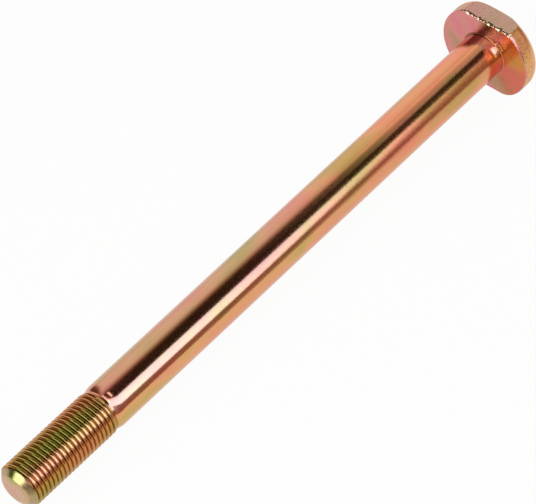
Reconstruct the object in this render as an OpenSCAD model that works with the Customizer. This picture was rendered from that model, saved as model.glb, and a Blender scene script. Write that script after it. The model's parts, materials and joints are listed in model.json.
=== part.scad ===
// Tensioning bolt: a single steel piece with a flat round head, two flats on the head,
// a long plain shank and a short fine thread. It lies as it comes to rest on a table:
// on the lower flat of its head, at the edge next to the shank, and on the end of its thread.

/* [Head] */
// Diameter of the round head
head_d = 30.5; // [28:0.5:36]
// Width across the two flats of the head
head_flats = 25.5; // [21:0.5:27]
// Thickness of the head
head_k = 6.5; // [5:0.5:10]
// Rounding of the round rim, on the side away from the shank; the flats cut through it
head_crown_round = 2.75; // [0.5:0.25:4]
// Rounding of the head's outer edges, on the side of the shank
head_seat_round = 0.4; // [0.2:0.1:1]
// Rounding of the four corners between flats and rim
head_corner_round = 0.5; // [0.3:0.1:2]

/* [Shank] */
// Diameter of the plain shank, which is the nominal size of the thread
shank_d = 14; // [10:0.5:16]
// Length from the seat under the head to the end of the point
bolt_length = 205; // [120:5:300]
// Fillet between shank and head
neck_fillet = 0.8; // [0.4:0.1:1.5]

/* [Thread] */
// Length of the threaded end, with the point and the run-out groove
thread_length = 36; // [20:1:60]
// Pitch of the thread
thread_pitch = 1.5; // [1:0.25:2]
// How far the crests stay below the nominal diameter
crest_allowance = 0.2; // [0.1:0.05:0.4]
// Length of the tapered shoulder between the shank and the run-out groove
shoulder_length = 3.5; // [2:0.5:6]
// Rounding where the shank turns into the shoulder
shoulder_round = 3; // [1:0.5:4]
// Width of the run-out groove at the root of the thread
groove_width = 0.8; // [0.4:0.1:2]

/* [Point] */
// Length of the tapered point
point_length = 3; // [2:0.5:5]
// Diameter of the end face out to its edge, before that edge is rounded
point_face_d = 9.6; // [4:0.2:10]
// Rounding around the end face
point_face_round = 2.2; // [0.5:0.1:2.8]
// Rounding where the point turns into the thread
point_root_round = 1; // [0.3:0.1:2]

/* [Hidden] */
$fn = 96;
// Reach of the cutting shapes past the surfaces that they cut
past = 1;
// Share of the pitch between the nominal and the pitch diameter of a metric thread
pitch_diameter_share = 0.6495;

head_r = head_d / 2;
flat_x = head_flats / 2;
shank_r = shank_d / 2;
crest_r = shank_r - crest_allowance / 2;
// The thread is rolled on a blank of the pitch diameter, which shows bare in the groove
groove_r = shank_r - pitch_diameter_share * thread_pitch / 2;
point_face_r = point_face_d / 2;

// Stations along the axis, counted from the seat under the head towards the point
thread_start = bolt_length - thread_length;
shoulder_start = thread_start - shoulder_length;
crest_start = thread_start + groove_width + (crest_r - groove_r);
point_start = bolt_length - point_length;

// Half section of the whole bolt: each corner is [radius, station, rounding]
section = [
    [0, -head_k, 0],
    [head_r, -head_k, head_crown_round],
    [head_r, 0, head_seat_round],
    [shank_r, 0, neck_fillet],
    [shank_r, shoulder_start, shoulder_round],
    [groove_r, thread_start, 0],
    [groove_r, thread_start + groove_width, 0],
    [crest_r, crest_start, 0],
    [crest_r, point_start, point_root_round],
    [point_face_r, bolt_length, point_face_round],
    [0, bolt_length, 0]
];

// Section of the head between its flats, across and along the axis, sharp on the crown side
flats_section = [
    [-flat_x, -head_k, 0],
    [flat_x, -head_k, 0],
    [flat_x, 0, head_seat_round],
    [-flat_x, 0, head_seat_round]
];

// Centre of the round corner between a flat and the rim, inside the head's outline
corner_x = flat_x - head_corner_round;
corner_y = sqrt(pow(head_r - head_corner_round, 2) - pow(corner_x, 2));

// Rest pose. Both contacts are round edges, so the table touches two circles of the section.
point_taper = atan2(crest_r - point_face_r, point_length);
rest_point_s = point_start - point_root_round * tan(point_taper / 2);
rest_point_h = crest_r - point_root_round;
rest_head_s = -head_seat_round;
rest_head_h = flat_x - head_seat_round;
rest_reach = rest_point_s - rest_head_s;
rest_drop = rest_head_h - rest_point_h;
rest_tilt = atan2(rest_drop, rest_reach)
    + asin((head_seat_round - point_root_round) / norm([rest_reach, rest_drop]));
rest_height = rest_head_h * cos(rest_tilt) + rest_head_s * sin(rest_tilt) + head_seat_round;
crown_face_r = head_r - head_crown_round;
rest_back = crown_face_r < flat_x
    ? (head_k - head_crown_round) * cos(rest_tilt) + crown_face_r * sin(rest_tilt) + head_crown_round
    : head_k * cos(rest_tilt) + flat_x * sin(rest_tilt);
// Radius at which the end face turns into its rounding, whose foremost point ends the part's box
end_flat_r = point_face_r - point_face_round * tan((90 - point_taper) / 2);
rest_front = (bolt_length - point_face_round) * cos(rest_tilt) + end_flat_r * sin(rest_tilt)
    + point_face_round;

function xy(corner) = [corner[0], corner[1]];
function unit(v) = v / norm(v);
function cross_z(a, b) = a[0] * b[1] - a[1] * b[0];

// Half the angle between the two edges that meet at corner b
function half_angle(a, b, c) = acos(unit(a - b) * unit(c - b)) / 2;
// Where the arc of radius r leaves the edge from corner b towards corner a
function tangent_point(a, b, c, r) = b + unit(a - b) * r / tan(half_angle(a, b, c));
// Centre of the arc of radius r that rounds corner b
function arc_centre(a, b, c, r) =
    b + unit(unit(a - b) + unit(c - b)) * r / sin(half_angle(a, b, c));

// A closed outline whose corners, each [x, y, rounding], are true arcs. It runs anticlockwise.
module rounded_outline(corners) {
    count = len(corners);
    function before(i) = xy(corners[(i + count - 1) % count]);
    function at(i) = xy(corners[i]);
    function after(i) = xy(corners[(i + 1) % count]);
    function convex(i) = cross_z(at(i) - before(i), after(i) - at(i)) > 0;
    function cut(i) = corners[i][2] == 0 ? [at(i)] : [
        tangent_point(before(i), at(i), after(i), corners[i][2]),
        tangent_point(after(i), at(i), before(i), corners[i][2])
    ];

    // The slice of a disc that fills, or hollows, the corner that was cut straight
    module arc_slice(i) {
        centre = arc_centre(before(i), at(i), after(i), corners[i][2]);
        intersection() {
            translate(centre) circle(r = corners[i][2]);
            polygon([centre, cut(i)[0], at(i), cut(i)[1]]);
        }
    }

    difference() {
        union() {
            polygon([for (i = [0 : count - 1]) each cut(i)]);
            for (i = [0 : count - 1])
                if (corners[i][2] > 0 && convex(i)) arc_slice(i);
        }
        for (i = [0 : count - 1])
            if (corners[i][2] > 0 && !convex(i)) arc_slice(i);
    }
}

// What the two flats take off the round head: all that lies outside the flats' section
module flats_cutters() {
    inside = flat_x - head_seat_round;
    side = head_r + past - inside;
    rotate([90, 0, 0])
        linear_extrude(height = 2 * (head_r + past), center = true)
            difference() {
                for (way = [-1, 1])
                    translate([way * (inside + side / 2), -head_k / 2])
                        square([side, head_k + 2 * past], center = true);
                rounded_outline(flats_section);
            }
}

// What rounds one corner between a flat and the rim, all along the head's thickness
module corner_cutter() {
    centre = [corner_x, corner_y];
    on_flat = [flat_x, corner_y];
    on_rim = unit(centre) * head_r;
    outside = [flat_x + past, on_rim[1] + past];
    translate([0, 0, -head_k - past])
        linear_extrude(height = head_k + 2 * past)
            difference() {
                polygon([on_flat, on_flat + [past, 0], outside, on_rim + unit(centre) * past, on_rim]);
                translate(centre) circle(r = head_corner_round);
            }
}

// The bolt on its own axis, with the seat under the head at zero and the point upwards
module upright_bolt() {
    difference() {
        rotate_extrude() rounded_outline(section);
        flats_cutters();
        for (x_way = [0, 1], y_way = [0, 1])
            mirror([x_way, 0, 0]) mirror([0, y_way, 0]) corner_cutter();
    }
}

module tensioning_bolt() {
    color([0.80, 0.60, 0.40])
        translate([(rest_back - rest_front) / 2, 0, rest_height])
            rotate([0, 90 + rest_tilt, 0])
                upright_bolt();
}

tensioning_bolt();
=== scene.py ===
# %% [markdown]
# # A plated tensioning bolt
#
# The bolt is one steel piece: a flat round head with two flats, a long plain shank, and a
# short fine thread with a tapered point. Its zinc plating was dipped in a yellow passivate,
# which leaves a thin film that shimmers from gold to pink and green. This lesson builds the
# whole bolt as one closed surface with numpy, gives it that finish, and lights it like a small
# product studio.

# %% Load the frame
import json
import math

import bpy
import numpy as np
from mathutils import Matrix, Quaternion, Vector


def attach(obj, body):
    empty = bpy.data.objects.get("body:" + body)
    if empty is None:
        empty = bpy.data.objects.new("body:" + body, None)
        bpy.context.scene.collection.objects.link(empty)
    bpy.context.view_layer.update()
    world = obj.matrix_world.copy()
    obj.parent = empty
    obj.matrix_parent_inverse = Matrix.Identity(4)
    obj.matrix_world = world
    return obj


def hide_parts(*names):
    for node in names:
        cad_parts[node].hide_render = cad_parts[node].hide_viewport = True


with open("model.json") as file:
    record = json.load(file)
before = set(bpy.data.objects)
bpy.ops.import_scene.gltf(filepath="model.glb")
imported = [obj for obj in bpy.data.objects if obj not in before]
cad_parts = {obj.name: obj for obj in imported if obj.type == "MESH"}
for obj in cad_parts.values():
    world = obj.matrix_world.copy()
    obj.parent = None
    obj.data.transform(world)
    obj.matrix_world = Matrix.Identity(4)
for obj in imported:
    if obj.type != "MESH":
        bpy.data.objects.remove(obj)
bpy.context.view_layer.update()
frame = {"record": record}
mounts = {m["name"]: m for m in frame["record"]["mounts"]}
print("mounts in the frame:", sorted(mounts))

# %% [markdown]
# ## Where the bolt lies
#
# The frame already says where the bolt is: its mounts give the shank's axis, the seat under
# the head and the two flats. Taking the place from them means that nothing has to be fitted by
# eye. Three directions at right angles are enough: along the axis, up through a flat, and
# sideways.

# %% Axes of the bolt
def unit(v):
    """A vector divided by its own length."""
    return np.asarray(v, float) / np.linalg.norm(v)


along = unit(mounts["shank"]["axis"])
upward = unit(mounts["upper_flat"]["axis"])
sideways = np.cross(along, upward)
shank_point = np.array(mounts["shank"]["pos_m"])
to_seat = np.dot(np.array(mounts["head_seat"]["pos_m"]) - shank_point, along)
seat_centre = shank_point + to_seat * along
print("seat under the head at", np.round(seat_centre, 4), "axis", np.round(along, 4))

# %% [markdown]
# ## The sizes
#
# The radii come from the mounts. The other sizes follow the solid in the frame, written in metres,
# with the fillet, the shoulder and the point drawn a little finer than there. Stations count along
# the axis from the seat under the head towards the point.

# %% Sizes in metres
MM = 0.001
SHANK_R = mounts["shank"]["dims"]["r_mm"] * MM
CREST_R = mounts["thread"]["dims"]["r_mm"] * MM
flat_gap = np.array(mounts["upper_flat"]["pos_m"]) - np.array(mounts["lower_flat"]["pos_m"])
HALF_FLATS = float(np.dot(flat_gap, upward)) / 2
HEAD_R = 15.25 * MM
HEAD_K = 6.5 * MM
CROWN_ROUND = 2.75 * MM
CORNER_ROUND = 0.5 * MM
NECK_FILLET = 0.4 * MM
LENGTH = 205 * MM
THREAD_START = LENGTH - 35 * MM
SHOULDER_START = THREAD_START - 1.4 * MM
SHOULDER_ROUND = 8 * MM
PITCH = 1.5 * MM
BLANK_R = SHANK_R - 0.6495 * PITCH / 2
POINT_START = LENGTH - 2.4 * MM
POINT_FACE_R = 4.4 * MM
POINT_ROOT_ROUND = 1.6 * MM
POINT_FACE_ROUND = 2.6 * MM
POINT_LEAN = 0.5 * MM
print(f"head {2e3 * HEAD_R:.1f} mm, {2e3 * HALF_FLATS:.1f} mm across its flats")
print(f"{1e3 * LENGTH:.0f} mm long under the head")

# %% [markdown]
# ## Columns round the axis
#
# The surface is a grid. One parameter runs along the section, from the middle of the head to
# the middle of the point, and the other runs round the axis. Evenly spaced columns would miss
# the tight corners between flats and rim, so the columns crowd there: a density is added up
# round the circle, and its inverse gives the angles.

# %% Angles of the columns
COLUMNS = 200
CORNER_CROWD = 5.0
CORNER_SPREAD = math.radians(3.0)
FLAT_CROWD = 2.2
corner_angle = math.acos(HALF_FLATS / HEAD_R)


def crowded_angles(count):
    """Angles whose spacing is the inverse of a density: one, plus a bump at each head corner
    and a plateau over each flat."""
    fine = np.linspace(0, 2 * np.pi, 7201)
    folded = np.arctan2(np.abs(np.sin(fine)), np.abs(np.cos(fine)))
    density = 1 + CORNER_CROWD * np.exp(-(((folded - corner_angle) / CORNER_SPREAD) ** 2))
    density += FLAT_CROWD * (folded < corner_angle)
    total = np.concatenate([[0], np.cumsum((density[1:] + density[:-1]) / 2)])
    return np.interp(np.arange(count) / count * total[-1], total, fine)


theta = crowded_angles(COLUMNS)[None, :]
print(f"{COLUMNS} columns, from {math.degrees(np.diff(theta[0]).min()):.2f} degrees apart")

# %% [markdown]
# ## The head's outline
#
# A disc was forged on the end of the bar and two sides of it were sheared off, which keep the
# bolt from turning in its slot. Seen along the axis the outline is a circle cut by two straight
# lines, with a small arc in each corner and a large one in the corner that was hammered rounder. One
# polar formula gives that outline, also drawn in by some inset, so every ring of the head can use it.

# %% Outline of the head
SHARPEST_CORNER = 0.1 * MM
HAMMERED_ROUND = 7 * MM


def head_outline(angle, inset=0.0):
    """Polar radius of the head's outline, drawn in by inset: flat distance over cosine along the
    flats, the far side of a circle in the corners, and the rim's radius elsewhere."""
    c = np.abs(np.cos(angle))
    s = np.abs(np.sin(angle))
    rim = HEAD_R - inset
    flat = HALF_FLATS - inset
    hammered = (np.cos(angle) < 0) & (np.sin(angle) < 0)
    corner = np.maximum(np.where(hammered, HAMMERED_ROUND, CORNER_ROUND) - inset, SHARPEST_CORNER)
    x = flat - corner
    y = np.sqrt((rim - corner) ** 2 - x**2)
    folded = np.arctan2(s, c)
    reach = np.sqrt(np.maximum(corner**2 - (x * s - y * c) ** 2, 0))
    in_corner = np.where(folded < np.arctan2(y, x), x * c + y * s + reach, rim)
    return np.where(folded < np.arctan2(y, flat), flat / np.maximum(c, 1e-9), in_corner)


outline = head_outline(theta)
print(f"outline from {1e3 * outline.min():.2f} to {1e3 * outline.max():.2f} mm")

# %% [markdown]
# ## Crown and rim
#
# The crown is the side away from the shank. Its edge was rounded all the way round before the
# flats were sheared, so each flat cuts through the rounding in a curve. Each column therefore
# follows the crown's arc only as far as the outline allows and then turns down the wall. Two rings
# close to the turn keep the edge crisp under smooth shading.

# %% Rings of crown and wall
CROWN_FACE_R = HEAD_R - CROWN_ROUND


def column(*shares):
    """Shares as a column, one ring each."""
    return np.array(shares)[:, None]


def crown_rings():
    """Crown face, then the arc: radius plus rounding times the sine, station plus rounding times one
    less the cosine, up to the angle at which the arc meets the outline."""
    face = CROWN_FACE_R * column(0.25, 0.5, 0.75, 0.95) + 0 * theta
    last = np.arcsin(np.clip((outline - CROWN_FACE_R) / CROWN_ROUND, 0, 1))
    turn = column(0, 0.1, 0.22, 0.34, 0.46, 0.58, 0.7, 0.82, 0.92, 0.985, 1) * last
    arc_s = -HEAD_K + CROWN_ROUND * (1 - np.cos(turn))
    arc_r = CROWN_FACE_R + CROWN_ROUND * np.sin(turn)
    return np.concatenate([-HEAD_K + 0 * face, arc_s]), np.concatenate([face, arc_r])


crown = crown_rings()
wall_top = crown[0][-1:]
print(f"flats reach to {1e3 * (HEAD_K + wall_top.min()):.2f} mm from the crown's face")

# %% [markdown]
# ## A sheared edge
#
# Where the shears left the flat, on the side of the shank, the edge is not clean: it is chipped
# and carries a small burr. The chips are a bevel whose size changes along the flat as a sum of a few
# waves of different lengths, and the burr is a low ridge beside it. The rim's edge is turned and
# stays even, but it was dressed with a file close to the corners.

# %% Masks along the head's outline
def smooth_step(x):
    """Zero below 0, one above 1, and a cubic between."""
    x = np.clip(x, 0, 1)
    return x * x * (3 - 2 * x)


def waves(place, lengths, seed):
    """Mean of sines of the given wave lengths, with phases that follow from the seed, from -1 to 1."""
    phases = np.random.default_rng(seed).uniform(0, 2 * np.pi, len(lengths))
    return np.mean([np.sin(2 * np.pi * place / w + p) for w, p in zip(lengths, phases)], axis=0)


DRESSED_SPREAD = 0.38
FILE_WAVES = (0.07, 0.13)
CHIP_WAVES = (1.1 * MM, 1.9 * MM, 3.7 * MM)
across = outline * np.sin(theta)
folded_theta = np.arctan2(np.abs(np.sin(theta)), np.abs(np.cos(theta)))
on_flat = smooth_step((corner_angle - folded_theta) / math.radians(1.5))
on_upper_flat = on_flat * (np.cos(theta) > 0)
beside_corner = np.exp(-(((folded_theta - corner_angle) / DRESSED_SPREAD) ** 2))
dressed = (1 - on_flat) * beside_corner * (across < 0)
dressed = dressed * (np.cos(theta) > 0) * (0.75 + 0.5 * waves(theta, FILE_WAVES, 3))
chips = on_upper_flat * smooth_step(0.45 + 1.5 * waves(across, CHIP_WAVES, 5))
print(f"chips cover {100 * chips[on_upper_flat > 0.5].mean():.0f} percent of the upper flat's edge")

# %% [markdown]
# ## Wall, edge and seat
#
# The wall runs from the crown's arc to the edge, and the seat is the face that presses on the piece
# that the bolt pulls. Chips and burr are smaller than half a millimetre, so the rings crowd at the
# edge and stay few on the plain faces. A bevel with soft ends stands for the edge, because a hard
# bevel would catch the light as one even line.

# %% Rings of wall, seat edge and seat
SHEARED_EDGE = 0.14 * MM
ROUND_EDGE = 0.30 * MM
CHIP_SIZE = 0.42 * MM
DRESSED = 0.85 * MM
BURR = 0.12 * MM
BURR_WAVES = (0.7 * MM, 1.3 * MM, 2.9 * MM)
BURR_PLACE = 0.22 * MM
BURR_WIDTH = 0.14 * MM
EDGE_BULGE = 1.6
bevel_slope = 0.62 + 0.38 * on_upper_flat
even_edge = ROUND_EDGE + (SHEARED_EDGE - ROUND_EDGE) * on_upper_flat
edge = even_edge + CHIP_SIZE * chips + DRESSED * dressed


def seat_rings():
    """Wall down to the seat edge, the edge as a bevel with soft ends, and the seat face. The bevel's
    inset is one less a power of the cosine and its station a power of the sine."""
    share = column(0.015, 0.05, 0.35, 0.7, 0.86, 0.91, 0.945, 0.97, 0.985, 0.997)
    wall_s = wall_top + (-edge - wall_top) * share
    ridge = np.exp(-(((wall_s + edge + BURR_PLACE) / BURR_WIDTH) ** 2))
    burr = BURR * on_upper_flat * (0.4 + waves(across, BURR_WAVES, 8))
    turn = np.linspace(0, np.pi / 2, 9)[:, None]
    inset = bevel_slope * edge * (1 - np.cos(turn) ** EDGE_BULGE)
    edge_s = -edge + edge * np.sin(turn) ** EDGE_BULGE
    outer = head_outline(theta, bevel_slope * edge)
    face_r = outer + (SHANK_R + NECK_FILLET - outer) * column(0.02, 0.2, 0.5, 0.8, 0.97)
    return {
        "wall": (wall_s, outline + burr * ridge),
        "edge": (edge_s, head_outline(theta, inset)),
        "seat": (0 * face_r, face_r),
    }


seat_side = seat_rings()
print("rings on the seat's side:", sum(len(s) for s, r in seat_side.values()))

# %% [markdown]
# ## Rings from a section
#
# From the seat on, the bolt is round until the thread starts. A lathe would cut such a form from a
# section with a few corners, each rounded by an arc, so small helpers turn a list of corners into
# rings. Long steps are split, because the film's colour is stored at the rings.

# %% Rings from rounded corners
def rounded_section(corners, arc_steps=8):
    """Points along a line of corners (station, radius, rounding), with each rounding an arc that
    is tangent to both of its edges."""
    pts = np.array([c[:2] for c in corners])
    points = [pts[:1]]
    for before, corner, after, (_, _, rounding) in zip(pts, pts[1:], pts[2:], corners[1:]):
        a, b = unit(before - corner), unit(after - corner)
        half = math.acos(np.dot(a, b)) / 2
        centre = corner + unit(a + b) * rounding / math.sin(half)
        start = corner + a * rounding / math.tan(half) - centre
        end = corner + b * rounding / math.tan(half) - centre
        share = np.linspace(0, 1, arc_steps)[:, None]
        sweep = math.pi - 2 * half
        arc = np.sin((1 - share) * sweep) * start + np.sin(share * sweep) * end
        points.append(centre + arc / math.sin(sweep))
    points.append(pts[-1:])
    return np.concatenate(points)


def split_long_steps(points, longest):
    """The same line with every step longer than longest cut into equal parts."""
    steps = np.maximum(np.ceil(np.linalg.norm(np.diff(points, axis=0), axis=1) / longest), 1).astype(int)
    where = np.concatenate([i + np.arange(n) / n for i, n in enumerate(steps)] + [[len(steps)]])
    index = np.arange(len(points))
    return np.stack([np.interp(where, index, points[:, k]) for k in range(2)], 1)


def as_rings(points):
    """Stations and radii of round rings, one for each point of a section."""
    return points[:, :1] + 0 * theta, points[:, 1:] + 0 * theta


print("section helpers:", [f.__name__ for f in (rounded_section, split_long_steps, as_rings)])

# %% [markdown]
# ## Neck, shank and shoulder
#
# The shank is drawn bar with a small fillet at the neck, where it meets the seat. The shoulder at its
# other end is the taper down to the bar that the thread was rolled on. The die that forged the head
# left a small slanted mark beside the seat, which catches the light. It could be sculpted, but
# tilting a few rings over a narrow angle keeps the grid whole.

# %% Rings of neck, shank and shoulder
MARK_SLOPE = 0.22
MARK_MIDDLE = 1.4 * MM
MARK_END = 3 * MM
BARE_END = THREAD_START + 0.3 * MM


def side(turn, full, fade):
    """One within an angle, full, of the side that lies at turn, and zero beyond a further angle,
    fade."""
    off = np.abs(np.angle(np.exp(1j * (theta - math.radians(turn)))))
    return 1 - smooth_step((off - math.radians(full)) / math.radians(fade))


neck_line = rounded_section([
    (0, SHANK_R + 3 * NECK_FILLET, 0),
    (0, SHANK_R, NECK_FILLET),
    (6 * MM, SHANK_R, 0),
])[1:]
shoulder_line = rounded_section([
    (SHOULDER_START - 3 * MM, SHANK_R, 0),
    (SHOULDER_START, SHANK_R, SHOULDER_ROUND),
    (THREAD_START, BLANK_R, 0.4 * MM),
    (BARE_END, BLANK_R, 0),
])
shank_line = np.concatenate([split_long_steps(neck_line, 0.35 * MM), shoulder_line])
shank_s, shank_r = as_rings(split_long_steps(shank_line, 12 * MM))
marked = side(-43, 8, 6) * smooth_step((MARK_END - shank_s) / (0.7 * MM))
shank = (shank_s, shank_r + MARK_SLOPE * (MARK_MIDDLE - shank_s) * marked)
print("shank rings:", len(shank_s))

# %% [markdown]
# ## The thread
#
# The thread was rolled: the dies press a helical groove into the bar and the displaced steel
# rises beside it, which leaves broad flat crests. A point's phase is its station in pitches less
# its share of a turn, so lines of equal phase are right-hand helices. The groove is a rounded V of
# that phase. It fades in from the bare bar over a turn, and the point cuts it off.

# %% Rings of the thread
CREST_SHARE = 0.48
GROOVE_DEPTH = 0.72 * MM
ROOT_SHARE = 0.12
CREST_DOME = 0.03 * MM
RINGS_PER_PITCH = 15
GROOVE_SOFT = 0.3
RUN_OUT = 1.1 * PITCH
THREAD_PHASE = 0.34


def groove(phase):
    """Depth share of a rounded V groove over one pitch: zero on the crest, one along the root, and
    straight flanks between, all with soft edges."""
    off_root = np.abs(phase - np.floor(phase) - 0.5)
    flank = (0.5 - CREST_SHARE / 2 - off_root) / (0.5 - CREST_SHARE / 2 - ROOT_SHARE / 2)
    soft = GROOVE_SOFT
    eased_in = np.where(flank < soft, np.maximum(flank + soft, 0) ** 2 / (4 * soft), flank)
    return np.where(flank > 1 - soft, 1 - np.maximum(1 + soft - flank, 0) ** 2 / (4 * soft), eased_in)


def thread_phase(station):
    """Station in pitches less the share of a turn."""
    return station / PITCH - theta / (2 * np.pi) + THREAD_PHASE


def thread_radius(station):
    """Radius of the rolled thread: crest radius less the groove and less a slight doming of the
    crest, blended into the bare bar."""
    phase = thread_phase(station)
    off_crest = np.abs(phase - np.round(phase)) / (CREST_SHARE / 2)
    rolled = CREST_R - GROOVE_DEPTH * groove(phase) - CREST_DOME * np.minimum(off_crest, 1) ** 2
    formed = smooth_step((station - BARE_END) / RUN_OUT)
    return BLANK_R + (rolled - BLANK_R) * formed


RING_STEP = PITCH / RINGS_PER_PITCH
thread_s = np.arange(THREAD_START + 0.4 * MM, POINT_START - 2 * MM, RING_STEP)[:, None]
thread = (thread_s + 0 * theta, thread_radius(thread_s))
print("thread rings:", len(thread_s))

# %% [markdown]
# ## The point
#
# The point guides the nut on. It is a short cone with a large rounding at either end, which leaves
# little of its straight part, and a flat end. The bar was cropped a little out of square, so the cone
# starts later on one side and its end leans. The thread still runs a little way up the first
# rounding, so each ring takes the smaller of the two radii.

# %% Rings of the point
LONG_SIDE = math.radians(-18)
point_line = rounded_section([
    (POINT_START - 3 * MM, CREST_R, 0),
    (POINT_START, CREST_R, POINT_ROOT_ROUND),
    (LENGTH, POINT_FACE_R, POINT_FACE_ROUND),
    (LENGTH, 0.2 * MM, 0),
], arc_steps=20)
point_line = split_long_steps(point_line, RING_STEP)
taper = math.atan2(CREST_R - POINT_FACE_R, LENGTH - POINT_START)
END_FLAT_R = POINT_FACE_R - POINT_FACE_ROUND * math.tan((math.pi / 2 - taper) / 2)
past_thread = point_line[:, 0] > thread_s[-1, 0]
round_part = point_line[:, 1] > END_FLAT_R - 0.01 * MM


def lean(station, radius):
    """Stations moved in proportion to the radius and to the cosine of the angle from the long side,
    and not at all where the thread is whole."""
    share = radius / CREST_R * smooth_step((station - thread_s[-1]) / (1.5 * MM))
    return station + POINT_LEAN * share * np.cos(theta - LONG_SIDE)


point_s, point_r = as_rings(point_line[past_thread & round_part])
point_s = lean(point_s, point_r)
point = (point_s, np.minimum(point_r, thread_radius(point_s)))
end_r = END_FLAT_R * column(0.9, 0.6, 0.3) + 0 * theta
end_face = (lean(LENGTH + 0 * end_r, end_r), end_r)
print("point rings:", len(point_s), f"flat end {2e3 * END_FLAT_R:.1f} mm across")

# %% [markdown]
# ## Colours of the film
#
# Yellow passivated zinc is a bright metal under a film that is thinner than a wavelength of light.
# Where the film is a little thicker its colour moves from gold over orange to pink and green. Real
# thin-film optics would need a spectrum, so every vertex gets the colour that the film has there, and
# how matt it is. The bath drained along the bar, so the film changes from gold at the head to mauve near
# the thread. A paler streak along one side is painted highlight, laid where the front lamp's bright band
# falls. The sheared flats, the turned rim, the seat and the rolled thread each took the film in their
# own way, and the chipped edge shows bare metal. The fillet at the neck is painted darker as painted
# shade, and the mark beside the seat is painted nearly white, partly as wear and partly as painted
# highlight.

# %% Film on the shank
HEAD_FILM = np.array((0.83, 0.36, 0.18))
THREAD_END_FILM = np.array((0.69, 0.37, 0.22))
LOWER_FILM = np.array((0.81, 0.41, 0.19))
# Pale film for the painted highlight streak along the shank.
PAINTED_HIGHLIGHT_FILM = np.array((0.83, 0.66, 0.56))
NECK_FILM = np.array((0.82, 0.52, 0.39))
# Film of the mark beside the seat: partly wear, partly painted highlight.
WORN_AND_HIGHLIGHT_FILM = np.array((0.95, 0.84, 0.70))
# Colours of the painted shade in the fillet at the neck.
FILLET_SHADE_AMBER = np.array((0.55, 0.26, 0.10))
FILLET_SHADE_BROWN = np.array((0.30, 0.13, 0.06))
SHANK_MATT = 0.21
# The streak at this angle is painted highlight: it lies where the front lamp's bright band falls.
highlight_streak = side(-40, 6, 11)


def blend(a, b, share):
    """Colour a moved towards colour b by the share, for a whole grid of shares."""
    return a + (b - a) * np.asarray(share)[..., None]


def shank_film(station):
    """Gold to mauve along the bar, yellower below, paler along one side as painted highlight and at the
    neck, more matt towards the head, nearly white at the mark beside the seat as wear and painted
    highlight, and darker in the fillet as painted shade."""
    base = blend(HEAD_FILM, THREAD_END_FILM, smooth_step((station - 55 * MM) / (45 * MM)))
    lower = side(-85, 18, 22) * smooth_step((station - 40 * MM) / (50 * MM))
    # Painted highlight: paler along the streak, more so towards the thread.
    pale = highlight_streak * np.clip((station - 20 * MM) / (145 * MM), 0, 1)
    colour = blend(blend(base, LOWER_FILM, lower), PAINTED_HIGHLIGHT_FILM, pale)
    colour = blend(colour, NECK_FILM, 1 - smooth_step((station - 3 * MM) / (2 * MM)))
    # Nearly white at the mark: partly wear, partly a painted highlight that whitens its glint.
    colour = blend(colour, WORN_AND_HIGHLIGHT_FILM, marked)
    # Painted shade in the fillet: dark brown, amber towards the near side.
    fillet = blend(FILLET_SHADE_BROWN, FILLET_SHADE_AMBER, side(-80, 45, 30) + 0 * station)
    in_fillet = 1 - smooth_step((station - 0.3 * MM) / (0.3 * MM))
    brighter = 0.07 * smooth_step(station / SHOULDER_START) + 0.06 * np.exp(-station / (6 * MM))
    return blend(colour, fillet, in_fillet), SHANK_MATT - brighter


on_shank = shank_film(shank_s)
print("mean film on the shank:", np.round(on_shank[0].mean((0, 1)), 2))

# %% [markdown]
# ## Film on the thread and the point
#
# The grooves of the thread are painted darker than the crests, as painted shade down in the recess. The
# phase that shapes the groove also gives the share of the painted shade, so colour and shape can't drift
# apart. On top the crests are olive and darker, partly the film's colour and partly painted shade, and
# the streak of painted highlight from the shank runs on over them. The point has a tan film of its own,
# with painted shade on its upper near side and a pale yellow painted highlight in it, and the thread's
# film goes on over it as far as crests and grooves still show.

# %% Film on the thread and the point
ROLLED_FILM = np.array((0.58, 0.275, 0.088))
# Olive on top of the thread: partly the film's colour, partly painted shade.
OLIVE_SHADE_FILM = np.array((0.29, 0.215, 0.060))
# Pale film for the painted highlight streak on the thread's crests.
ROLLED_HIGHLIGHT_FILM = np.array((0.87, 0.66, 0.38))
# Colours of the painted shade down in the grooves, golden towards the near side.
GROOVE_SHADE_FILM = np.array((0.33, 0.17, 0.045))
GROOVE_SHADE_GOLD = np.array((0.43, 0.25, 0.06))
# Pale yellow film for the painted highlight of the spot on the point.
POINT_HIGHLIGHT_FILM = np.array((0.60, 0.50, 0.26))
POINT_TAN = np.array((0.52, 0.35, 0.21))
# Dark film for the painted shade on the point's upper near side.
POINT_SHADE = np.array((0.27, 0.20, 0.10))
END_FILM = np.array((0.68, 0.43, 0.28))
THREAD_MATT = 0.16
POINT_MATT = 0.26
END_MATT = 0.30


def rolled_film(station):
    """Brown on the thread, olive and darker on top as film and painted shade, paler along one side as
    painted highlight, and darker down in the groove as painted shade.
    """
    # Olive and darker on top: partly film, partly painted shade.
    colour = blend(ROLLED_FILM, OLIVE_SHADE_FILM, side(-10, 8, 22) + 0 * station)
    # Painted highlight: the crests are paler along the streak.
    colour = blend(colour, ROLLED_HIGHLIGHT_FILM, highlight_streak + 0 * station)
    # Painted shade: darker down in the groove, golden towards the near side.
    groove_shade = blend(GROOVE_SHADE_FILM, GROOVE_SHADE_GOLD, side(-75, 45, 25) + 0 * station)
    return blend(colour, groove_shade, groove(thread_phase(station))), THREAD_MATT + 0 * station


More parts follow.
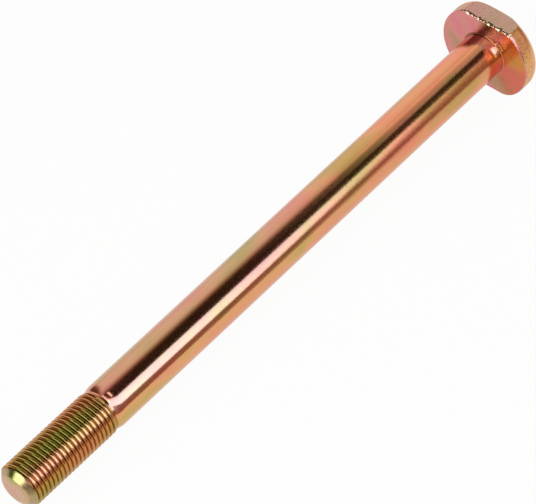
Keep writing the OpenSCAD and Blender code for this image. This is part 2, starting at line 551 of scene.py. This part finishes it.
def point_film(station):
    """Tan, with painted shade on the upper near side and a pale yellow painted highlight in it where the
    lamp's spot falls, turning into the film of the end face, and the thread's film as far as its crests
    and grooves show."""
    # Painted shade on the upper near side, then a painted highlight where the lamp's spot falls.
    colour = blend(POINT_TAN, POINT_SHADE, side(-24, 32, 22) + 0 * station)
    colour = blend(colour, POINT_HIGHLIGHT_FILM, side(-18, 18, 10) + 0 * station)
    towards_end = smooth_step((station - LENGTH + 0.9 * MM) / (0.8 * MM))
    colour = blend(colour, END_FILM, towards_end)
    rolled, matt = rolled_film(station)
    cut = smooth_step((CREST_R - point_r) / (0.25 * MM))
    cut = cut * (1 - smooth_step((point_r - thread_radius(station)) / (0.15 * MM)))
    return blend(rolled, colour, cut), matt + (POINT_MATT - THREAD_MATT) * cut


def even_film(colour, matt, station):
    """One colour and one roughness for a group of rings."""
    return blend(colour, colour, station), matt + 0 * station


on_thread = rolled_film(thread[0])
on_point = point_film(point[0])
on_end = even_film(END_FILM, END_MATT, end_face[0])
print("mean film on the thread:", np.round(on_thread[0].mean((0, 1)), 2))

# %% [markdown]
# ## Film on the head
#
# The faces of the head were made in different ways and took the film differently: gold on the turned
# rim, mauve on the sheared flats and pink on the seat. The seat also carries painted reflections: a
# golden one between the shank and the upper flat's near corner, and a red one of the shaded table below.
# Chips and file broke through to bare metal, and a ragged dark line runs beside the burr. Masks along
# the outline are enough to place all of this, so no picture has to be painted.

# %% Film on the head
SEAT_FILM = np.array((0.74, 0.30, 0.27))
# Colours of the painted reflections on the seat: golden near the upper flat's corner, red below.
SEAT_GOLD_REFLECTION = np.array((0.72, 0.29, 0.07))
SEAT_RED_REFLECTION = np.array((0.72, 0.19, 0.13))
FLAT_FILM = np.array((0.70, 0.44, 0.35))
RIM_FILM = np.array((0.92, 0.53, 0.22))
RIM_FAR = np.array((0.86, 0.55, 0.38))
BARE_METAL = np.array((0.80, 0.68, 0.54))
DARK_EDGE_LINE = np.array((0.08, 0.045, 0.025))
DARK_LINE_WAVES = (0.8 * MM, 1.5 * MM, 3.3 * MM)
CROWN_MATT = 0.36
RIM_MATT = 0.45
EDGE_MATT = 0.24
SEAT_MATT = 0.22


def wall_film(station):
    """Gold on the rim and mauve on the flats, with a ragged dark line beside the burr."""
    above = -edge - station
    ragged = 0.42 * MM + 0.36 * MM * waves(across, DARK_LINE_WAVES, 21)
    # A ragged dark line on the upper flat, just above the burr.
    dark = on_upper_flat * smooth_step((ragged - above) / (0.14 * MM) + 0.5)
    rim = blend(RIM_FILM, RIM_FAR, side(60, 40, 30) + 0 * station)
    colour = blend(rim, FLAT_FILM, on_flat + 0 * station)
    return blend(colour, DARK_EDGE_LINE, dark), RIM_MATT - 0.1 * on_flat + 0 * station


def edge_film(station):
    """Bare metal in the chips and where the file dressed the edge, else the seat's film."""
    worn = np.maximum(chips, dressed)
    return blend(SEAT_FILM, BARE_METAL, worn + 0 * station), EDGE_MATT + 0 * station


def seat_film(station):
    """Pink, with a golden painted reflection between the shank and the upper flat's near corner, and a
    red painted reflection of the shaded table below.
    """
    # Painted reflections: red below, then golden between the shank and the upper flat's near corner.
    colour = blend(SEAT_FILM, SEAT_RED_REFLECTION, side(-105, 25, 25) + 0 * station)
    return blend(colour, SEAT_GOLD_REFLECTION, side(-60, 14, 25) + 0 * station), SEAT_MATT + 0 * station


groups = {"crown": crown, **seat_side, "shank": shank, "thread": thread, "point": point, "end": end_face}
films = {
    "crown": even_film(RIM_FILM, CROWN_MATT, crown[0]),
    "wall": wall_film(seat_side["wall"][0]),
    "edge": edge_film(seat_side["edge"][0]),
    "seat": seat_film(seat_side["seat"][0]),
    "shank": on_shank,
    "thread": on_thread,
    "point": on_point,
    "end": on_end,
}
print("film groups:", list(films))

# %% [markdown]
# ## One closed mesh
#
# All rings are stacked into one grid and turned into places in the frame: the seat's centre, plus
# the station along the axis, plus the radius in the direction of the angle. Four-sided faces join
# each ring to the next and the last column to the first, and a fan closes each end. The film's colour
# and roughness go along as attributes of the vertices.

# %% Build the bolt
def bolt_mesh():
    """A closed mesh from the stacked rings: seat centre plus station along the axis plus radius
    times the cosine upward and the sine sideways."""
    station = np.concatenate([s for s, r in groups.values()])
    radius = np.concatenate([r for s, r in groups.values()])
    spokes = np.cos(theta)[..., None] * upward + np.sin(theta)[..., None] * sideways
    grid = seat_centre + station[..., None] * along + radius[..., None] * spokes
    poles = seat_centre + np.outer([-HEAD_K, LENGTH], along)
    rows = len(station)
    corner = np.arange(rows * COLUMNS).reshape(rows, COLUMNS)
    beside = np.roll(corner, -1, axis=1)
    quads = np.stack([corner[:-1], beside[:-1], beside[1:], corner[1:]], -1).reshape(-1, 4)
    head_pole, point_pole = rows * COLUMNS, rows * COLUMNS + 1
    head_fan = np.stack([np.full(COLUMNS, head_pole), beside[0], corner[0]], -1)
    point_fan = np.stack([corner[-1], beside[-1], np.full(COLUMNS, point_pole)], -1)
    mesh = bpy.data.meshes.new("bolt_surface")
    faces = quads.tolist() + head_fan.tolist() + point_fan.tolist()
    mesh.from_pydata(np.concatenate([grid.reshape(-1, 3), poles]).tolist(), [], faces)
    mesh.polygons.foreach_set("use_smooth", np.ones(len(faces), bool))
    mesh.update()
    return mesh, 2 * len(quads) + 2 * COLUMNS


def store_films(mesh):
    """The film's colour and roughness as vertex attributes, with the two poles last."""
    colours = [c.reshape(-1, 3) for c, m in films.values()] + [RIM_FILM[None], END_FILM[None]]
    matt = [m.reshape(-1) for c, m in films.values()] + [[CROWN_MATT], [END_MATT]]
    rgba = np.ones((len(mesh.vertices), 4), np.float32)
    rgba[:, :3] = np.concatenate(colours)
    mesh.attributes.new("film", "FLOAT_COLOR", "POINT").data.foreach_set("color", rgba.ravel())
    rough = np.concatenate(matt).astype(np.float32)
    mesh.attributes.new("matt", "FLOAT", "POINT").data.foreach_set("value", rough)


surface, triangles = bolt_mesh()
store_films(surface)
bolt = bpy.data.objects.new("plated_bolt", surface)
bpy.context.scene.collection.objects.link(bolt)
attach(bolt, "root")
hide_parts("tensioning_bolt")
print(f"bolt surface: {triangles} triangles")

# %% [markdown]
# ## Helpers for materials
#
# A material is a tree of nodes: each node is one step, and links carry numbers and colours between
# them. In the editor these would be drawn by hand. A few short helpers let a script say the same, with
# each input either a plain value or the output of another node.

# %% Helpers for materials
def new_material(name):
    """An empty node material, with its node tree."""
    material = bpy.data.materials.new(name)
    material.use_nodes = True
    material.node_tree.nodes.clear()
    return material, material.node_tree


def add(tree, kind, inputs=None, **settings):
    """A node of that kind, with its settings, and its inputs set to a value or joined to a socket."""
    node = tree.nodes.new(kind)
    for key, value in settings.items():
        setattr(node, key, value)
    for key, value in (inputs or {}).items():
        if isinstance(value, bpy.types.NodeSocket):
            tree.links.new(value, node.inputs[key])
        else:
            node.inputs[key].default_value = value
    return node


def add_range(tree, value, before, after):
    """The value, moved smoothly from the range before to the range after."""
    return add(tree, "ShaderNodeMapRange", {
        "Value": value,
        "From Min": before[0],
        "From Max": before[1],
        "To Min": after[0],
        "To Max": after[1],
    }, interpolation_type="SMOOTHSTEP").outputs["Result"]


def add_math(tree, operation, a, b):
    """Two numbers joined by the operation."""
    return add(tree, "ShaderNodeMath", {0: a, 1: b}, operation=operation).outputs[0]


def add_ramp(tree, factor, stops):
    """A colour ramp with the given (place, colour) stops."""
    ramp = add(tree, "ShaderNodeValToRGB", {"Fac": factor})
    while len(ramp.color_ramp.elements) < len(stops):
        ramp.color_ramp.elements.new(0.5)
    for element, (place, colour) in zip(ramp.color_ramp.elements, stops):
        element.position = place
        element.color = (*colour, 1)
    return ramp.outputs["Color"]


def add_mix(tree, factor, a, b, blend_type="MIX"):
    """Two colours mixed by the factor."""
    mix = add(tree, "ShaderNodeMix", {0: factor, 6: a, 7: b}, data_type="RGBA", blend_type=blend_type)
    return mix.outputs[2]


print("material helpers:", [f.__name__ for f in (add, add_range, add_math, add_ramp, add_mix)])

# %% [markdown]
# ## The finish
#
# The shader takes the film's colour and roughness from the attributes. A slow noise that is stretched
# along the bar tints the colour towards green or pink, as a film of uneven thickness does. A fine
# noise in the normals, the roughness and the colour stands for the grain of the forged steel, which
# shows most where the surface is matt.

# %% The plated finish
TINTS = [
    (0.36, (0.72, 1.00, 0.68)),
    (0.50, (0.96, 0.96, 0.92)),
    (0.64, (1.00, 0.81, 0.98)),
]
TINT_PLACE = (12.1, 9.4, 3.3)
TINT_SCALE = (45, 120, 120)
GRAIN_SCALE = 2600.0
GRAIN_HEIGHT = 0.0001
PITS = [(0.38, (0.62, 0.52, 0.50)), (0.56, (1.0, 1.0, 1.0))]


def plated_finish():
    """Bright metal in the film's colour, tinted by a slow noise, with a fine grain in its normals and
    its roughness that grows where the film is more matt."""
    material, tree = new_material("yellow_zinc_plating")
    place = add(tree, "ShaderNodeTexCoord").outputs["Object"]
    film = add(tree, "ShaderNodeAttribute", attribute_name="film").outputs["Color"]
    matt = add(tree, "ShaderNodeAttribute", attribute_name="matt").outputs["Fac"]
    stretched = add(tree, "ShaderNodeMapping", {
        "Vector": place,
        "Location": TINT_PLACE,
        "Scale": TINT_SCALE,
    }).outputs[0]
    slow = add(tree, "ShaderNodeTexNoise", {"Vector": stretched, "Scale": 1.0, "Detail": 2.0})
    tint = add_ramp(tree, slow.outputs["Fac"], TINTS)
    strength = add_range(tree, matt, (0.27, 0.34), (1.0, 0.5))
    colour = add_mix(tree, strength, film, tint, "MULTIPLY")
    fine = add(tree, "ShaderNodeTexNoise", {"Vector": place, "Scale": GRAIN_SCALE, "Detail": 1.0})
    grain = fine.outputs["Fac"]
    pitted = add_ramp(tree, grain, PITS)
    colour = add_mix(tree, add_range(tree, matt, (0.24, 0.45), (0.0, 0.8)), colour, pitted, "MULTIPLY")
    coarseness = add_range(tree, matt, (0.14, 0.36), (0.0, 0.32))
    bump = add(tree, "ShaderNodeBump", {
        "Height": grain,
        "Strength": coarseness,
        "Distance": GRAIN_HEIGHT,
    })
    uneven = add_range(tree, grain, (0.3, 0.7), (-0.03, 0.03))
    metal = add(tree, "ShaderNodeBsdfPrincipled", {
        "Base Color": colour,
        "Metallic": 1.0,
        "Roughness": add_math(tree, "ADD", matt, uneven),
        "Normal": bump.outputs["Normal"],
    })
    add(tree, "ShaderNodeOutputMaterial", {"Surface": metal.outputs["BSDF"]})
    return material


surface.materials.append(plated_finish())
print("finish:", [m.name for m in surface.materials])

# %% [markdown]
# ## The table
#
# The bolt lies on a white table. A bright metal shows its surroundings, so the studio is what makes
# the bands along the shank. For the camera the table is mostly its own white, with a share of shading
# that keeps the shadow. In reflections it is a white sheet that ends in front of the bolt, which gives
# the pale band along the lower side and the brown one above it.

# %% Table
SHEET_END = 0.110
SHEET_BEND = -0.13
SHEET_SLANT = 3.0
SHEET_BLUR = 0.012
TABLE_HALF = 3.0
CAMERA_SHARE = 0.95
REFLECTED_SHARE = 0.62
ROOM_COLOUR = (0.33, 0.17, 0.14, 1)


def white_table():
    """Pale floor: mostly its own white for the camera, with a share of diffuse shading that keeps the
    bolt's shadow. In reflections the white sheet ends in front of the bolt and a dim table follows."""
    mesh = bpy.data.meshes.new("table")
    corners = TABLE_HALF * np.array([[-1, -1, 0], [1, -1, 0], [1, 1, 0], [-1, 1, 0]])
    mesh.from_pydata(corners.tolist(), [], [(0, 1, 2, 3)])
    table = bpy.data.objects.new("table", mesh)
    bpy.context.scene.collection.objects.link(table)
    material, tree = new_material("white_table")
    path = add(tree, "ShaderNodeLightPath").outputs
    place = add(tree, "ShaderNodeTexCoord").outputs["Object"]
    x, y, _ = add(tree, "ShaderNodeSeparateXYZ", {0: place}).outputs
    beyond_bend = add_math(tree, "MAXIMUM", add_math(tree, "SUBTRACT", SHEET_BEND, x), 0.0)
    reach = add_math(tree, "SUBTRACT", y, add_math(tree, "MULTIPLY", beyond_bend, SHEET_SLANT))
    beyond = add_range(tree, reach, (SHEET_END - SHEET_BLUR, SHEET_END + SHEET_BLUR), (0.0, 1.0))
    reflected = add_math(tree, "MAXIMUM", path["Is Glossy Ray"], path["Is Transmission Ray"])
    dim = add_math(tree, "MULTIPLY", beyond, reflected)
    colour = add_mix(tree, dim, (1, 1, 1, 1), ROOM_COLOUR)
    paper = add(tree, "ShaderNodeBsdfDiffuse", {"Color": colour})
    white = add(tree, "ShaderNodeEmission", {"Color": colour, "Strength": 1.0})
    for_camera = add_math(tree, "MULTIPLY", path["Is Camera Ray"], CAMERA_SHARE)
    for_metal = add_math(tree, "MULTIPLY", reflected, REFLECTED_SHARE)
    share = add_math(tree, "MAXIMUM", for_camera, for_metal)
    mixed = add(tree, "ShaderNodeMixShader", {0: share, 1: paper.outputs[0], 2: white.outputs[0]})
    add(tree, "ShaderNodeOutputMaterial", {"Surface": mixed.outputs[0]})
    mesh.materials.append(material)
    return table


print("floor:", white_table().name)

# %% [markdown]
# ## The room
#
# Round the table stands a white wall behind, an unlit ceiling, which gives the dark band along the
# shank, and a dim warm room in front. A real studio has these by chance. Here the world's colour
# follows the direction of the ray through a few soft ranges, so each band can be placed by itself.

# %% World
WALL = (-0.62, -0.05)
ROOM_SPAN = (-0.2, 0.45)
ROOM_LEVELS = (0.30, 0.55)
FRONT_SPAN = (-0.1, 0.15)
CEILING_SPAN = (0.45, 0.72)
CORNER_SPAN = (0.35, 0.8)
CORNER_LEVEL = 0.15
SURROUNDINGS = [
    (0.00, (0.026, 0.011, 0.004)),
    (0.12, (0.120, 0.065, 0.040)),
    (0.30, (0.330, 0.170, 0.140)),
    (0.60, (0.600, 0.530, 0.470)),
    (1.00, (1.000, 1.000, 1.000)),
]


def studio_world():
    """White for the camera. For the rest, a white wall behind that fades out overhead into a dark warm
    ceiling and towards the corner past the point, and a dim warm room in front."""
    world = bpy.data.worlds.new("studio")
    bpy.context.scene.world = world
    world.use_nodes = True
    tree = world.node_tree
    tree.nodes.clear()
    direction = add(tree, "ShaderNodeTexCoord").outputs["Generated"]
    x, y, z = add(tree, "ShaderNodeSeparateXYZ", {0: direction}).outputs
    room = add_range(tree, x, ROOM_SPAN, ROOM_LEVELS)
    front = add_range(tree, y, FRONT_SPAN, (1.0, room))
    low = add_math(tree, "MULTIPLY", add_range(tree, z, CEILING_SPAN, (1.0, 0.0)), front)
    high = add_range(tree, y, WALL, (0.95, 0.0))
    past_point = add_math(tree, "SUBTRACT", x, y)
    corner = add_range(tree, past_point, CORNER_SPAN, (1.0, CORNER_LEVEL))
    level = add_math(tree, "MULTIPLY", add_math(tree, "MAXIMUM", low, high), corner)
    seen = add_ramp(tree, level, SURROUNDINGS)
    camera_ray = add(tree, "ShaderNodeLightPath").outputs["Is Camera Ray"]
    colour = add_mix(tree, camera_ray, seen, (1, 1, 1, 1))
    glow = add(tree, "ShaderNodeBackground", {"Color": colour, "Strength": 1.0})
    add(tree, "ShaderNodeOutputWorld", {"Surface": glow.outputs[0]})


studio_world()
print("world:", bpy.context.scene.world.name)

# %% [markdown]
# ## The lamps
#
# Soft boxes are lamps behind a sheet of cloth. The large one in front makes the bright band along the
# shank, the one past the point makes the spot on the cone, and the others light the head. Each is
# given by the brightness of its face, not by its power, because that is what the metal mirrors.

# %% Lamps
LAMPS = [
    ("front_box", (-0.10, 0.43, 0.477), (-0.276, -0.20, 0.02), (0.84, 0.42), 1.32, -12.5),
    ("top_box", (-0.038, 0.035, 0.50), (-0.038, 0.035, 0.0), (0.056, 0.21), 2.5, 0.0),
    ("end_box", (0.19, 0.06, 0.50), (0.19, 0.06, 0.0), (0.12, 0.44), 1.6, 0.0),
    ("point_box", (0.68, -0.12, 0.38), (0.10, -0.06, 0.01), (0.56, 0.66), 2.6, 0.0),
    ("back_box", (-0.48, -0.09, 0.50), (-0.48, -0.09, 0.0), (0.30, 0.34), 0.6, 0.0),
    ("side_box", (0.31, 0.60, 0.33), (-0.10, 0.0, 0.02), (0.13, 0.22), 2.6, 0.0),
]


def soft_box(name, place, aim, size, level, roll):
    """A rectangular lamp whose face has the given brightness, turned towards aim and then rolled."""
    lamp = bpy.data.lights.new(name, "AREA")
    lamp.shape = "RECTANGLE"
    lamp.size, lamp.size_y = size
    lamp.energy = level * math.pi * size[0] * size[1]
    box = bpy.data.objects.new(name, lamp)
    bpy.context.scene.collection.objects.link(box)
    box.location = place
    facing = (Vector(aim) - Vector(place)).to_track_quat("-Z", "Y")
    box.rotation_euler = (facing @ Quaternion((0, 0, 1), math.radians(roll))).to_euler()


for lamp_values in LAMPS:
    soft_box(*lamp_values)

# %% [markdown]
# ## The camera
#
# The picture was taken with a long lens from about a metre away, above the point of the bolt and to
# one side. The camera stands level, so its place follows from an azimuth, an elevation and a
# distance from the point that it looks at.

# %% Camera
IMAGE_WIDTH = 536
FOCAL_PIXELS = 3563.5
AZIMUTH, ELEVATION = math.radians(129.552), math.radians(48.077)
DISTANCE = 0.9938
TARGET = Vector((0, -0.000282, 0.010606))

lens = bpy.data.cameras.new("camera")
lens.sensor_width = 36
lens.lens = FOCAL_PIXELS / IMAGE_WIDTH * lens.sensor_width
camera = bpy.data.objects.new("camera", lens)
bpy.context.scene.collection.objects.link(camera)
back = Vector((
    math.sin(AZIMUTH) * math.cos(ELEVATION),
    -math.cos(AZIMUTH) * math.cos(ELEVATION),
    math.sin(ELEVATION),
))
camera.location = TARGET + back * DISTANCE
camera.rotation_euler = (-back).to_track_quat("-Z", "Y").to_euler()
bpy.context.scene.camera = camera
bpy.context.scene.view_settings.view_transform = "Standard"
print(f"lens {lens.lens:.0f} mm, {DISTANCE:.2f} m away")
